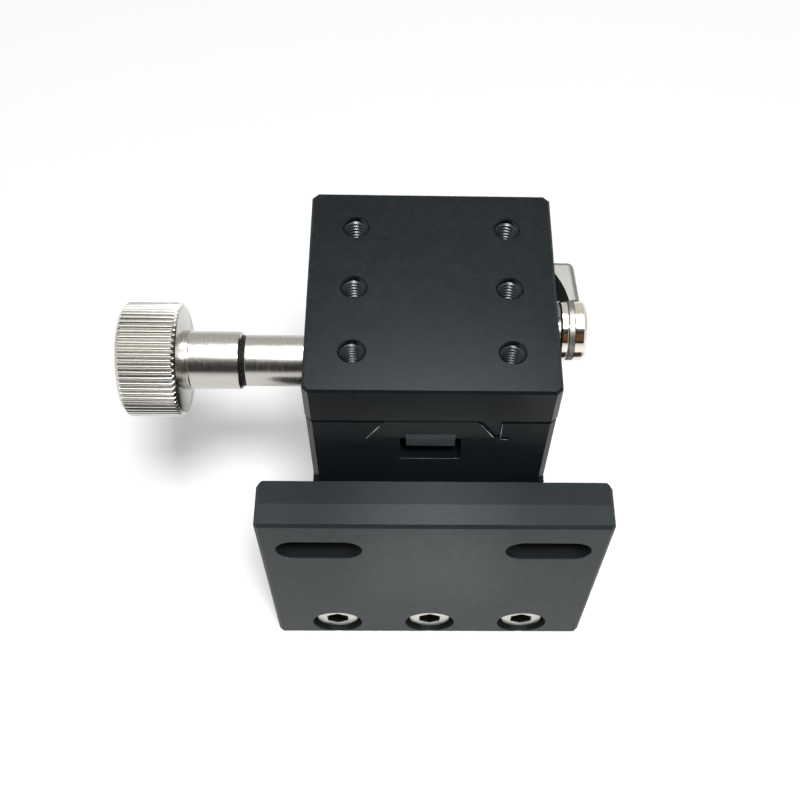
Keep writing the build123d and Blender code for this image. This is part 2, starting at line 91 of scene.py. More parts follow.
def spread(tree, source, low, high):
    """Noise mapped to a plain range, for roughness."""
    scale = add_node(tree, "ShaderNodeMapRange", From_Min=0.3, From_Max=0.7, To_Min=low, To_Max=high)
    tree.links.new(source, scale.inputs["Value"])
    return scale.outputs["Result"]


def relief(tree, source, strength, depth):
    """A bump of a real depth in metres."""
    bump = add_node(tree, "ShaderNodeBump", Strength=strength, Distance=depth)
    tree.links.new(source, bump.inputs["Height"])
    return bump.outputs["Normal"]


# Clouds in the dye, cells of dust, patches of gloss and grains of the blasting, per metre
dye_clouds = 95.0
dust_cells = 160.0
gloss_patches = 700.0
blast_grains = 9000.0
dye_dark = (0.0055, 0.0078, 0.0100)
dye_light = (0.0075, 0.0100, 0.0126)
dust_grey = (0.10, 0.10, 0.10, 1)
cool_gloss = (0.86, 0.96, 1.0, 1)


def anodised(name, dark=dye_dark, light=dye_light, rough=(0.24, 0.30)):
    """Bead-blasted black anodising: a fine grain, faint clouds in the dye and a few specks of dust."""
    finish, tree, shader = new_finish(name)
    clouds = ramp(tree, grain(tree, dye_clouds), [(0.35, dark), (0.65, light)])
    # Dust: one small speck in some of the cells
    place = tree.nodes.new("ShaderNodeTexCoord")
    cells = add_node(tree, "ShaderNodeTexVoronoi", Scale=dust_cells)
    tree.links.new(place.outputs["Object"], cells.inputs["Vector"])
    speck = add_node(tree, "ShaderNodeMapRange", From_Min=0.012, From_Max=0.02, To_Min=0.7, To_Max=0.0)
    tree.links.new(cells.outputs["Distance"], speck.inputs["Value"])
    dusty = tree.nodes.new("ShaderNodeMix")
    dusty.data_type = "RGBA"
    dusty.inputs["B"].default_value = dust_grey
    tree.links.new(speck.outputs["Result"], dusty.inputs["Factor"])
    tree.links.new(clouds, dusty.inputs["A"])
    tree.links.new(dusty.outputs["Result"], shader.inputs["Base Color"])
    tree.links.new(spread(tree, grain(tree, gloss_patches), *rough), shader.inputs["Roughness"])
    blasting = relief(tree, grain(tree, blast_grains, detail=2.0), strength=0.10, depth=0.000008)
    tree.links.new(blasting, shader.inputs["Normal"])
    shader.inputs["IOR"].default_value = 1.25
    shader.inputs["Specular Tint"].default_value = cool_gloss
    return finish


def dress(node, finish):
    """Gives a CAD node its finish."""
    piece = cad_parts[node]
    piece.data.materials.clear()
    piece.data.materials.append(finish)
    return piece


block_black = anodised("black_anodising_blocks")
for node in ("back_plate", "riser_block"):
    dress(node, block_black)

# ------------------------------------------------------------------ foot plate
# Thick plate with two slots for M6 screws, in black anodised aluminium. Its narrow top side was
# milled from both faces, and the two cuts meet in a fine line at half thickness; the front half
# took less dye.
foot_low, foot_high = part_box("foot_plate")


def within(tree, low, high):
    """1 inside a box, 0 outside it; the box is given in the piece's own coordinates."""
    place = tree.nodes.new("ShaderNodeTexCoord")
    source = place.outputs["Object"]
    middle, half = (low + high) / 2, (high - low) / 2
    for operation, amount in (("SUBTRACT", middle), ("ABSOLUTE", None), ("DIVIDE", half)):
        step = tree.nodes.new("ShaderNodeVectorMath")
        step.operation = operation
        tree.links.new(source, step.inputs[0])
        if amount:
            step.inputs[1].default_value = amount
        source = step.outputs["Vector"]
    split = tree.nodes.new("ShaderNodeSeparateXYZ")
    tree.links.new(source, split.inputs["Vector"])
    widest = split.outputs["X"]
    for other, operation in (("Y", "MAXIMUM"), ("Z", "MAXIMUM"), (None, "LESS_THAN")):
        test = tree.nodes.new("ShaderNodeMath")
        test.operation = operation
        test.inputs[1].default_value = 1.0
        tree.links.new(widest, test.inputs[0])
        if other:
            tree.links.new(split.outputs[other], test.inputs[1])
        widest = test.outputs[0]
    return widest


def from_middle(tree, middle, reach):
    """1 on the plane x = middle, falling smoothly to 0 at the given distance from it."""
    place = tree.nodes.new("ShaderNodeTexCoord")
    split = tree.nodes.new("ShaderNodeSeparateXYZ")
    tree.links.new(place.outputs["Object"], split.inputs["Vector"])
    offset = tree.nodes.new("ShaderNodeMath")
    offset.operation = "SUBTRACT"
    offset.inputs[1].default_value = middle
    tree.links.new(split.outputs["X"], offset.inputs[0])
    span = tree.nodes.new("ShaderNodeMath")
    span.operation = "ABSOLUTE"
    tree.links.new(offset.outputs[0], span.inputs[0])
    fade = add_node(tree, "ShaderNodeMapRange", From_Min=0.0, From_Max=reach, To_Min=1.0, To_Max=0.0)
    fade.interpolation_type = "SMOOTHSTEP"
    tree.links.new(span.outputs[0], fade.inputs["Value"])
    return fade.outputs["Result"]


def overlay(tree, shader, socket, mask, tone):
    """Puts a tone over what feeds one of the shader's sockets, where the mask is 1."""
    mix = tree.nodes.new("ShaderNodeMix")
    below = shader.inputs[socket].links[0].from_socket
    if socket == "Base Color":
        mix.data_type = "RGBA"
    tree.links.new(mask, mix.inputs["Factor"])
    tree.links.new(below, mix.inputs["A"])
    if isinstance(tone, float):
        mix.inputs["B"].default_value = tone
    else:
        tree.links.new(tone, mix.inputs["B"])
    tree.links.new(mix.outputs["Result"], shader.inputs[socket])


highlight_reach = 24 * mm


def milled_foot(name):
    """Black anodising over cutter marks. The two halves of the top side took the dye unequally, a painted
    highlight makes the top side lighter towards the middle of the plate's length, and the walls of the
    slots and holes are painted darker as shade."""
    finish = anodised(name, (0.0110, 0.0142, 0.0165), (0.0145, 0.0182, 0.0208), (0.44, 0.50))
    tree = finish.node_tree
    shader = tree.nodes["Principled BSDF"]
    shader.inputs["IOR"].default_value = 1.38
    to_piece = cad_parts["foot_plate"].matrix_world.inverted()
    low, high = to_piece @ foot_low, to_piece @ foot_high
    # Boxes round the top side, its back half and the inner walls, for the three masks
    outside = Vector((1, 1, 1)) * mm
    skin = 0.05 * mm
    top_low = Vector((low.x - outside.x, low.y - outside.y, high.z - skin))
    back_half_low = Vector((top_low.x, (low.y + high.y) / 2, top_low.z))
    inset = Vector((0.25, 0.25, 0.8)) * mm
    marks = grain(tree, 420.0, (1, 14, 1), detail=4.0)
    highlight_mask = from_middle(tree, (low.x + high.x) / 2, highlight_reach)

    def top_tone(ends, centre):
        """Cutter marks in a tone with a painted highlight, lighter towards the middle of the plate's length.
        """
        mix = tree.nodes.new("ShaderNodeMix")
        mix.data_type = "RGBA"
        tree.links.new(highlight_mask, mix.inputs["Factor"])
        for side, tone in (("A", ends), ("B", centre)):
            shades = [tuple(part * factor for part in tone) for factor in (0.88, 1.12)]
            tree.links.new(ramp(tree, marks, [(0.3, shades[0]), (0.7, shades[1])]), mix.inputs[side])
        return mix.outputs["Result"]

    # The centre tones are a painted highlight: the top side is painted lighter towards the middle of its
    # length
    front_tone = top_tone((0.032, 0.038, 0.041), (0.082, 0.094, 0.097))
    back_tone = top_tone((0.017, 0.021, 0.023), (0.050, 0.058, 0.061))
    # The walls of the slots and holes are painted near black: painted shade in the recesses
    wall_painted_shade = ramp(tree, marks, [(0.3, (0.0020, 0.0026, 0.0030)), (0.7, (0.0030, 0.0036, 0.0040))])
    top_side = within(tree, top_low, high + outside)
    overlay(tree, shader, "Base Color", top_side, front_tone)
    overlay(tree, shader, "Base Color", within(tree, back_half_low, high + outside), back_tone)
    overlay(tree, shader, "Roughness", top_side, 0.85)
    walls = within(tree, low + inset, high - inset)
    overlay(tree, shader, "Base Color", walls, wall_painted_shade)
    overlay(tree, shader, "Roughness", walls, 0.75)
    return finish


dress("foot_plate", milled_foot("black_anodising_foot"))

# ------------------------------------------------------------------ socket-head screws
# Stainless cap screws: turned heads with a chamfered rim, a fine straight knurl, a broached
# hexagon socket and a rolled thread.


def eased(outline, radius):
    """A turned piece's closed outline with every corner broken by a small curve."""
    guard = 0.15
    curve = []
    for index in range(len(outline)):
        before, here, after = (Vector(outline[i % len(outline)]) for i in (index - 1, index, index + 1))
        back, ahead = before - here, after - here
        cut = min(radius, 0.4 * back.length, 0.4 * ahead.length)
        start, end = here + back.normalized() * cut, here + ahead.normalized() * cut
        # A point just outside each end of the curve keeps the long faces' shading flat
        curve.append(tuple(start + back.normalized() * guard * cut))
        for step in (0, 1 / 3, 2 / 3, 1):
            curve.append(tuple(start * (1 - step) ** 2 + here * (2 * step * (1 - step)) + end * step**2))
        curve.append(tuple(end + ahead.normalized() * guard * cut))
    return curve


def solid(name, points, faces, sharp=35):
    """A mesh object with outward normals, smooth but for edges sharper than the given angle."""
    mesh = bpy.data.meshes.new(name)
    mesh.from_pydata(points, [], faces)
    shell = bmesh.new()
    shell.from_mesh(mesh)
    bmesh.ops.remove_doubles(shell, verts=shell.verts, dist=1e-7)
    bmesh.ops.recalc_face_normals(shell, faces=shell.faces)
    shell.to_mesh(mesh)
    shell.free()
    mesh.shade_smooth()
    mesh.set_sharp_from_angle(angle=math.radians(sharp))
    piece = bpy.data.objects.new(name, mesh)
    bpy.context.scene.collection.objects.link(piece)
    return piece


def lathe(name, outline, height, segments=144, closed=True, shape=None, sharp=35):
    """A turned piece about the line y = 0, z = height along X. The outline is (x, radius) in mm;
    shape(x, radius, angle) may change a radius where the piece isn't round."""
    points, rings = [], []
    for x, radius in outline:
        ring = []
        if radius == 0:
            ring = [len(points)] * segments
            points.append((x * mm, 0, height * mm))
        else:
            for step in range(segments):
                angle = 2 * math.pi * step / segments
                reach = shape(x, radius, angle) if shape else radius
                ring.append(len(points))
                y, z = reach * math.sin(angle), height + reach * math.cos(angle)
                points.append((x * mm, y * mm, z * mm))
        rings.append(ring)
    faces = []
    pairs = list(zip(rings, rings[1:])) + ([(rings[-1], rings[0])] if closed else [])
    for first, second in pairs:
        for step in range(segments):
            other = (step + 1) % segments
            corners = [first[step], first[other], second[other], second[step]]
            face = list(dict.fromkeys(corners))
            if len(face) > 2:
                faces.append(face)
    return solid(name, points, faces, sharp)


def settle(piece, finish, slot, body, *nodes):
    """Gives a piece its finish, its body and the CAD nodes it stands for."""
    piece.data.materials.append(finish)
    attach(piece, body)
    if nodes:
        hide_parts(*nodes)
    return piece


def brushed(name, colour, rough, stretch=(1, 1, 1), scale=900.0, depth=0.000004, tint=0.12):
    """Machined metal: tool marks are noise drawn out along the cut, with a little colour drift."""
    finish, tree, shader = new_finish(name)
    shade = [tuple(part * factor for part in colour) for factor in (1 - tint, 1 + tint * 0.4)]
    marks = grain(tree, scale, stretch, detail=4.0)
    tree.links.new(ramp(tree, marks, [(0.3, shade[0]), (0.7, shade[1])]), shader.inputs["Base Color"])
    tree.links.new(spread(tree, marks, *rough), shader.inputs["Roughness"])
    tree.links.new(relief(tree, marks, 0.5, depth), shader.inputs["Normal"])
    shader.inputs["Metallic"].default_value = 1.0
    return finish


screw_steel = brushed(
    "stainless_screws", (0.66, 0.645, 0.60), (0.30, 0.42), scale=2600.0, depth=0.0000015, tint=0.06
)
# An M5 cap screw, in mm; the thread and the head are radii, and flats is the socket's width
m5_cap = {"thread": 2.5, "head": 4.25, "head_height": 5.0, "flats": 4.0, "pitch": 0.8}
foot_screw_length = 16.0
head_ridges = 48
head_ridge_depth = 0.07


def hexagon(flats, angle):
    """Radius of a hexagon's side in a direction."""
    return flats / 2 / math.cos((angle % (math.pi / 3)) - math.pi / 6)


def cap_screw(name, length, top, direction, thread, head, head_height, flats, pitch):
    """A socket-head screw whose head's flat face is at the point top, in mm, with its shank
    pointing along direction."""
    # Along x from the head's face: the socket's drilled point, its mouth, the head and the thread
    socket = 0.55 * head_height
    rim = 0.10 * head
    outline = [(socket + 0.25 * flats, 0), (socket, 0.48 * flats)]
    outline += [(socket - 0.02, 0.5 * flats), (0.12, 0.5 * flats), (0, 0.5 * flats + 0.14)]
    outline += [(0, head - rim), (0.35 * rim, head - 0.4 * rim), (rim, head - 0.05), (1.6 * rim, head)]
    outline += [(head_height - 0.1, head), (head_height, head - 0.1), (head_height, thread)]
    turns = int((length - pitch) / pitch)
    for turn in range(turns):
        start = head_height + 0.2 + turn * pitch
        outline += [(start, 0.98 * thread), (start + pitch / 2, thread - 0.55 * pitch)]
    outline += [(head_height + length - 0.2 * thread, 0.98 * thread)]
    outline += [(head_height + length, 0.75 * thread), (head_height + length, 0)]

    def form(x, radius, angle):
        if radius <= 0.5 * flats + 0.15 and x <= socket:
            return hexagon(2 * radius, angle)
        if radius == head:
            return head - head_ridge_depth * (1 + math.cos(head_ridges * angle)) / 2
        return radius

    piece = lathe(name, outline, 0.0, closed=False, shape=form)
    # Second material: the inside of the socket, painted dark as shade
    for face in piece.data.polygons:
        reach = math.hypot(face.center.y, face.center.z) / mm
        if reach < 0.60 * flats and 0.03 < face.center.x / mm < socket + 0.3 * flats:
            face.material_index = 1
    aim = Vector((1, 0, 0)).rotation_difference(Vector(direction)).to_matrix().to_4x4()
    piece.data.transform(Matrix.Translation(Vector(top) * mm) @ aim)
    return piece


def join_pieces(name, pieces):
    """Like pieces made into one object, as the CAD node holds them."""
    shell = bmesh.new()
    for piece in pieces:
        shell.from_mesh(piece.data)
        bpy.data.objects.remove(piece)
    mesh = bpy.data.meshes.new(name)
    shell.to_mesh(mesh)
    shell.free()
    mesh.shade_smooth()
    mesh.set_sharp_from_angle(angle=math.radians(35))
    joined = bpy.data.objects.new(name, mesh)
    bpy.context.scene.collection.objects.link(joined)
    return joined


foot_screw_low, foot_screw_high = (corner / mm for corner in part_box("foot_screws"))
screw_z = (foot_screw_low.z + foot_screw_high.z) / 2
screw_middle = (foot_screw_low.x + foot_screw_high.x) / 2
screw_pitch = (foot_screw_high.x - foot_screw_low.x) / 2 - m5_cap["head"]
screws = []
for side in (-1, 0, 1):
    top = (screw_middle + side * screw_pitch, foot_screw_low.y, screw_z)
    screws.append(cap_screw(f"foot_screw_{side + 1}", foot_screw_length, top, (0, 1, 0), **m5_cap))
foot_cap_screws = join_pieces("foot_cap_screws", screws)
settle(foot_cap_screws, screw_steel, "satin_steel", "stage_base", "foot_screws")
# The sockets' insides are painted dark: painted shade in the recess
socket_shade_paint = brushed("socket_painted_shade", (0.10, 0.095, 0.08), (0.25, 0.4), scale=2600.0)
foot_cap_screws.data.materials.append(socket_shade_paint)
for node in ("riser_screws", "stage_screws"):
    dress(node, screw_steel)

# ------------------------------------------------------------------ stage body
# The fixed half of the stage: a black anodised aluminium block with the female dovetail. Thin bright
# strips along the front edges of the dovetail and of the rack's channel are painted glints.
body_black = anodised(
    "black_anodising_body", (0.0046, 0.0062, 0.0078), (0.0062, 0.0080, 0.0098), (0.30, 0.36)
)
body_black.node_tree.nodes["Principled BSDF"].inputs["IOR"].default_value = 1.20
dress("stage_body", body_black)
body_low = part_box("stage_body")[0] / mm


def glint_strip(name, stops):
    """A thin bright strip along an edge of the front face, a painted glint. Stops are (x, z, width) in mm,
    and the strip is proud of the face by a hundredth of a millimetre or two."""
    proud = body_low.y - 0.015
    sunk = body_low.y + 0.02
    points, faces = [], []
    for index, (x, z, width) in enumerate(stops):
        before, after = stops[max(index - 1, 0)], stops[min(index + 1, len(stops) - 1)]
        run = Vector((after[0] - before[0], after[1] - before[1])).normalized()
        across = Vector((run.y, -run.x)) * width / 2
        for side, y in ((-1, proud), (1, proud), (1, sunk), (-1, sunk)):
            points.append(((x + side * across.x) * mm, y * mm, (z + side * across.y) * mm))
        if index:
            last = 4 * index
            for corner in range(4):
                other = (corner + 1) % 4
                faces.append((last - 4 + corner, last - 4 + other, last + other, last + corner))
    faces += [(0, 1, 2, 3), tuple(range(len(points) - 4, len(points)))]
    return solid(name, points, faces)


# Each strip's stops: x, z and width
left_flank = [
    (-8.20, 68.25, 0.05),
    (-8.68, 67.42, 0.22),
    (-9.28, 66.38, 0.14),
    (-10.10, 64.96, 0.05),
    (-10.44, 64.37, 0.14),
]
right_flank = [(7.95, 68.75, 0.04), (8.98, 66.97, 0.07), (9.72, 65.69, 0.20), (10.18, 64.89, 0.05)]
gib_wall = [(11.27, 69.05, 0.04), (11.28, 66.80, 0.09), (11.28, 64.45, 0.04)]
relief_groove = [(11.35, 64.27, 0.05), (12.10, 64.27, 0.07), (12.50, 64.27, 0.14)]
rack_channel = [
    (-5.02, 57.93, 0.16),
    (-4.70, 57.93, 0.05),
    (0.0, 57.93, 0.06),
    (3.8, 57.93, 0.04),
    (5.0, 57.93, 0.06),
]
edge_strips = [
    glint_strip("left_flank_edge", left_flank),
    glint_strip("right_flank_edge", right_flank),
    glint_strip("gib_wall_edge", gib_wall),
    glint_strip("relief_edge", relief_groove),
    glint_strip("channel_edge", rack_channel),
]
# Bright metal for the strips, which are painted glints
glint_metal = brushed("painted_glint_strips", (0.62, 0.63, 0.64), (0.22, 0.34), scale=6000.0)
settle(join_pieces("body_painted_glints", edge_strips), glint_metal, "black_anodised", "stage_base")

# ------------------------------------------------------------------ gib, set screws, stop pin
# Blackened steel gib beside the dovetail, black set screws behind it, and a ground steel pin that
# stops the table at both ends of its travel.
gib_black = anodised("blackened_gib")
black_oxide = brushed("black_oxide_steel", (0.05, 0.05, 0.052), (0.35, 0.5), scale=3000.0)
pin_steel = brushed("ground_steel", (0.60, 0.59, 0.57), (0.16, 0.26), stretch=(1, 1, 8), scale=1200.0)
dress("gib", gib_black)
dress("gib_screws", black_oxide)
dress("travel_stop_pin", pin_steel)

# ------------------------------------------------------------------ bearing sleeve and bushes
# A stainless sleeve pressed into the body's left wall, turned all over, that carries two
# sintered bronze bushes. A third bush and a black plug sit in the right wall.
shaft_low, shaft_high = (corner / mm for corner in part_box("pinion_shaft"))
shaft_z = (shaft_low.z + shaft_high.z) / 2
turned_steel = brushed("turned_stainless", (0.56, 0.54, 0.50), (0.17, 0.28), stretch=(16, 1, 1), scale=700.0)
sleeve_low, sleeve_high = (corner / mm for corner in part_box("bearing_sleeve"))
sleeve_radius = (sleeve_high.z - sleeve_low.z) / 2
sleeve_bore = 3.5
sleeve_chamfer = 0.3
sleeve_outline = [
    (sleeve_low.x, sleeve_bore),
    (sleeve_low.x, sleeve_radius - sleeve_chamfer),
    (sleeve_low.x + sleeve_chamfer, sleeve_radius),
    (sleeve_high.x, sleeve_radius),
    (sleeve_high.x, sleeve_bore),
]
sleeve = lathe("turned_sleeve", eased(sleeve_outline, 0.08), shaft_z)
settle(sleeve, turned_steel, "turned_stainless", "stage_base", "bearing_sleeve")
bronze = brushed("sintered_bronze", (0.50, 0.34, 0.19), (0.4, 0.6), scale=4000.0, depth=0.00001)
for node in ("outer_bush", "inner_bush", "end_bush"):
    dress(node, bronze)
dress("bore_plug", body_black)

# ------------------------------------------------------------------ table
# The moving half: a 40 mm square black anodised table with its male dovetail in one piece, and
# six M4 holes tapped right through. The thread ridges are lighter and shinier than the dye, a painted
# highlight on their crests.
table_low, table_high = (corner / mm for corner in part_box("table"))
table_black = anodised("black_anodising_table")
table_tree = table_black.node_tree
# From the rim down, the sides are painted much darker than the ground top: painted shade on the upright
# faces
to_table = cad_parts["table"].matrix_world.inverted()
corner_low, corner_high = to_table @ (table_low * mm), to_table @ (table_high * mm)
rim_height = 0.7 * mm
sides_low = corner_low - Vector((1, 1, 1)) * mm
sides_high = Vector((corner_high.x + mm, corner_high.y + mm, corner_high.z - rim_height))
below_top = within(table_tree, sides_low, sides_high)
side_painted_shades = [(0.35, (0.0012, 0.0018, 0.0024)), (0.65, (0.0020, 0.0027, 0.0034))]
side_shade_tone = ramp(table_tree, grain(table_tree, dye_clouds), side_painted_shades)
table_shader = table_tree.nodes["Principled BSDF"]
overlay(table_tree, table_shader, "Base Color", below_top, side_shade_tone)
overlay(table_tree, table_shader, "Roughness", below_top, 0.26)
dress("table", table_black)
# Lighter, shinier ridges: a painted highlight on the thread crests
thread_ridge_highlight = brushed("thread_ridges_painted_highlight", (0.038, 0.041, 0.044), (0.26, 0.36), scale=5000.0)
hole_pitch_x = 25.0
hole_pitch_y = 12.5
thread_major = 2.0
thread_minor = 1.65
thread_pitch = 0.7
thread_mouth = 2.25
first_turn_depth = 0.45
last_turn_margin = 0.5
# Half widths of a ridge at its root and crest, as shares of the pitch
root_half = 0.42
crest_half = 0.08
plate_thick = 8.5


def tapped_thread(name, x, y):
    """The helical ridge of an M4 thread, cut back at the mouth by the countersink."""
    steps = 40
    turns = (plate_thick - first_turn_depth - last_turn_margin) / thread_pitch
    points, faces = [], []
    for step in range(int(turns * steps) + 1):
        angle = 2 * math.pi * step / steps
        depth = first_turn_depth + thread_pitch * step / steps
        crest = max(thread_minor, thread_mouth - depth + 0.1)
        wall = thread_major + 0.04
        profile = ((wall, -root_half), (crest, -crest_half), (crest, crest_half), (wall, root_half))
        for radius, shift in profile:
            ridge_x, ridge_y = x + radius * math.sin(angle), y + radius * math.cos(angle)
            ridge_z = table_high.z - depth - shift * thread_pitch
            points.append((ridge_x * mm, ridge_y * mm, ridge_z * mm))
        if step:
            last = 4 * step
            for side in range(4):
                other = (side + 1) % 4
                faces.append((last - 4 + side, last - 4 + other, last + other, last + side))
    faces.append((0, 1, 2, 3))
    faces.append(tuple(range(len(points) - 4, len(points))))
    return solid(name, points, faces, 30)


threads = []
for column in (-1, 1):
    for row in (-1, 0, 1):
        place = (column * hole_pitch_x / 2, row * hole_pitch_y)
        threads.append(tapped_thread(f"thread_{column}_{row}", *place))
settle(join_pieces("table_threads", threads), thread_ridge_highlight, "black_anodised", "moving_table")

# ------------------------------------------------------------------ rack and its screws
# A milled steel rack let into the dovetail's underside, its teeth down, held by two M2.5 screws
# with low heads. The heads are sunk past the tips of the teeth, clear of the pinion.
rack_steel = brushed(
    "milled_rack_steel", (0.115, 0.128, 0.134), (0.36, 0.46), stretch=(0.1, 1, 1), scale=1800.0
)
dress("rack", rack_steel)
m25_low_cap = {"thread": 1.25, "head": 2.25, "head_height": 2.25, "flats": 2.0, "pitch": 0.45}
rack_screw_length = 5.9
rack_head_sink = 0.35
rack_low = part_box("rack")[0] / mm
rack_screw_low, rack_screw_high = (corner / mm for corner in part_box("rack_screws"))
rack_screw_y = (rack_screw_high.y - rack_screw_low.y) / 2 - m25_low_cap["head"]
screws = []
for side in (-1, 1):
    top = (0, side * rack_screw_y, rack_low.z + rack_head_sink)
    screws.append(cap_screw(f"rack_screw_{side}", rack_screw_length, top, (0, 0, 1), **m25_low_cap))
rack_cap_screws = join_pieces("rack_cap_screws", screws)
settle(rack_cap_screws, screw_steel, "satin_steel", "moving_table", "rack_screws")
rack_cap_screws.data.materials.append(socket_shade_paint)

# ------------------------------------------------------------------ pinion shaft
# Ground stainless shaft with the pinion pressed on under the rack, between two thrust washers.
shaft_steel = brushed("ground_shaft_steel", (0.60, 0.58, 0.55), (0.12, 0.2), stretch=(14, 1, 1))
dress("pinion_shaft", shaft_steel)
dress("pinion", rack_steel)
dress("thrust_washers", shaft_steel)

# ------------------------------------------------------------------ friction ring
# Black rubber ring squeezed between the hub and the sleeve. It gives the knob its drag and
# keeps a lifted table from running down.
rubber, rubber_tree, rubber_shader = new_finish("black_rubber")
rubber_blacks = [(0.3, (0.012, 0.012, 0.013)), (0.7, (0.03, 0.03, 0.031))]
rubber_tone = ramp(rubber_tree, grain(rubber_tree, 1500.0), rubber_blacks)
rubber_tree.links.new(rubber_tone, rubber_shader.inputs["Base Color"])
rubber_gloss = spread(rubber_tree, grain(rubber_tree, 2500.0), 0.22, 0.34)
rubber_tree.links.new(rubber_gloss, rubber_shader.inputs["Roughness"])
ring_low, ring_high = (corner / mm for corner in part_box("friction_ring"))
ring_radius = (ring_high.z - ring_low.z) / 2
ring_width = ring_high.x - ring_low.x
ring_bore = 2.55
lip_height = 0.14
lip_steps = 24
ring_outline = [(ring_low.x, ring_bore)]
for step in range(lip_steps + 1):
    share = step / lip_steps
    lip = lip_height * abs(math.sin(2 * math.pi * share))
    ring_outline.append((ring_low.x + ring_width * share, ring_radius - lip_height + lip))
ring_outline.append((ring_high.x, ring_bore))
ring = lathe("rubber_friction_ring", ring_outline, shaft_z)
settle(ring, rubber, "black_rubber", "knob_assembly", "friction_ring")

# ------------------------------------------------------------------ knob hub
# Turned stainless hub. A low collar stands against the knob's face, and a set screw on the
# hub's far side grips the shaft.
hub_low, hub_high = (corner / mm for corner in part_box("knob_hub"))
knob_low, knob_high = (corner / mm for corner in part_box("knob"))
hub_radius = 5.05
hub_bore = 2.5
hub_nose_radius = 4.0
hub_chamfer = 0.4
hub_collar_radius = (hub_high.z - hub_low.z) / 2
hub_collar_length = 1.1
hub_collar_slope = 0.15
hub_outline = [
    (hub_high.x, hub_bore),
    (hub_high.x, hub_radius - hub_chamfer),
    (hub_high.x - hub_chamfer, hub_radius),
    (knob_high.x + hub_collar_length + hub_collar_slope, hub_radius),
    (knob_high.x + hub_collar_length, hub_collar_radius),
    (knob_high.x, hub_collar_radius),
    (knob_high.x, hub_nose_radius),
    (hub_low.x, hub_nose_radius),
    (hub_low.x, hub_bore),
]
hub = lathe("turned_knob_hub", eased(hub_outline, 0.06), shaft_z)
settle(hub, turned_steel, "turned_stainless", "knob_assembly", "knob_hub")
dress("hub_set_screw", black_oxide)

# ------------------------------------------------------------------ knob
# Stainless knob pressed on the hub's nose, with a rolled straight knurl of 60 ridges. Plain
# chamfers at both rims cut across the ridges, so each ridge ends in a small point. The outer
# face is dished, with a small centre hole.
knurl_count = 60
knurl_depth = 0.45
knob_radius = (knob_high.z - knob_low.z) / 2
knob_rim = 0.7
rim_inset = 0.02
rim_steps = 8
columns_per_ridge = 12
dish_depth = 0.8
dish_radius = 6.3
dish_mouth_radius = 7.0
knob_wall = 2.0
centre_radius = 0.6
knob_steel = brushed(
    "knurled_stainless", (0.62, 0.605, 0.565), (0.20, 0.25), scale=2200.0, depth=0.0000004, tint=0.05
)


def knurl(x, radius, angle):
    """Rolled ridges: rounded crests with a narrower, rounded groove between them."""
    wave = (1 - math.cos(angle * knurl_count)) / 2
    return min(radius, knob_radius - knurl_depth * wave**1.7)


face_radius = knob_radius - knob_rim - 0.05
knob_outline = [
    (knob_low.x + knob_wall, hub_nose_radius),
    (knob_low.x + knob_wall, centre_radius),
    (knob_low.x + dish_depth, centre_radius),
    (knob_low.x + dish_depth, dish_radius),
    (knob_low.x, dish_mouth_radius),
    (knob_low.x, face_radius),
]
rim_cuts = [knob_rim * step / rim_steps for step in range(rim_steps + 1)]
knob_outline += [(knob_low.x + rim_inset + cut, knob_radius - knob_rim + cut) for cut in rim_cuts]
knob_outline += [(knob_high.x - rim_inset - knob_rim + cut, knob_radius - cut) for cut in rim_cuts]
knob_outline += [(knob_high.x, face_radius), (knob_high.x, hub_nose_radius)]
knob = lathe("knurled_knob", knob_outline, shaft_z, knurl_count * columns_per_ridge, shape=knurl, sharp=25)
settle(knob, knob_steel, "turned_stainless", "knob_assembly", "knob")

# ------------------------------------------------------------------ clamp screw, collar and cap
# A stainless screw that presses on the gib. Its collar and cap are turned and bright nickel
# plated; they sandwich the lever, and the cap has a screwdriver slot.
clamp_low, clamp_high = (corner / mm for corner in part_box("clamp_cap"))
clamp_z = (clamp_low.z + clamp_high.z) / 2
clamp_radius = (clamp_high.z - clamp_low.z) / 2
collar_low, collar_high = (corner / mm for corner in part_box("clamp_collar"))
nickel = brushed(
    "bright_nickel",
    (0.83, 0.77, 0.67),
    (0.08, 0.13),
    stretch=(14, 1, 1),
    scale=500.0,
    depth=0.000001,
    tint=0.05,
)
dress("clamp_screw", screw_steel)
clamp_bore = 1.5
collar_chamfer = 0.25
groove_width = 0.22
groove_depth = 0.5
collar_outline = [
    (collar_low.x, clamp_bore),
    (collar_low.x, clamp_radius - collar_chamfer),
    (collar_low.x + collar_chamfer, clamp_radius),
    (collar_high.x - groove_width, clamp_radius),
    (collar_high.x - groove_width, clamp_radius - groove_depth),
    (collar_high.x, clamp_radius - groove_depth),
    (collar_high.x, clamp_bore),
]
collar = lathe("nickel_clamp_collar", eased(collar_outline, 0.1), clamp_z)
settle(collar, nickel, "nickel", "clamp_assembly", "clamp_collar")
cap_edge = 0.5
cap_heel = 0.12
cap_wall = 1.25
cap_centre_radius = 0.3
cap_slot_width = 0.8
cap_slot_depth = 0.7
cap_outline = [
    (clamp_low.x, clamp_bore),
    (clamp_low.x, clamp_radius - cap_heel),
    (clamp_low.x + cap_heel, clamp_radius),
    (clamp_high.x - cap_edge, clamp_radius),
    (clamp_high.x, clamp_radius - cap_edge),
    (clamp_high.x, cap_centre_radius),
    (clamp_high.x - cap_wall, cap_centre_radius),
    (clamp_high.x - cap_wall, clamp_bore),
]
cap = lathe("nickel_clamp_cap", eased(cap_outline, 0.12), clamp_z)
cutter_low = Vector((clamp_high.x - cap_slot_depth, -8, clamp_z - cap_slot_width / 2)) * mm
cutter_high = Vector((clamp_high.x + 1, 8, clamp_z + cap_slot_width / 2)) * mm
slot_corners = [
    (x, y, z)
    for x in (cutter_low.x, cutter_high.x)
    for y in (cutter_low.y, cutter_high.y)
    for z in (cutter_low.z, cutter_high.z)
]
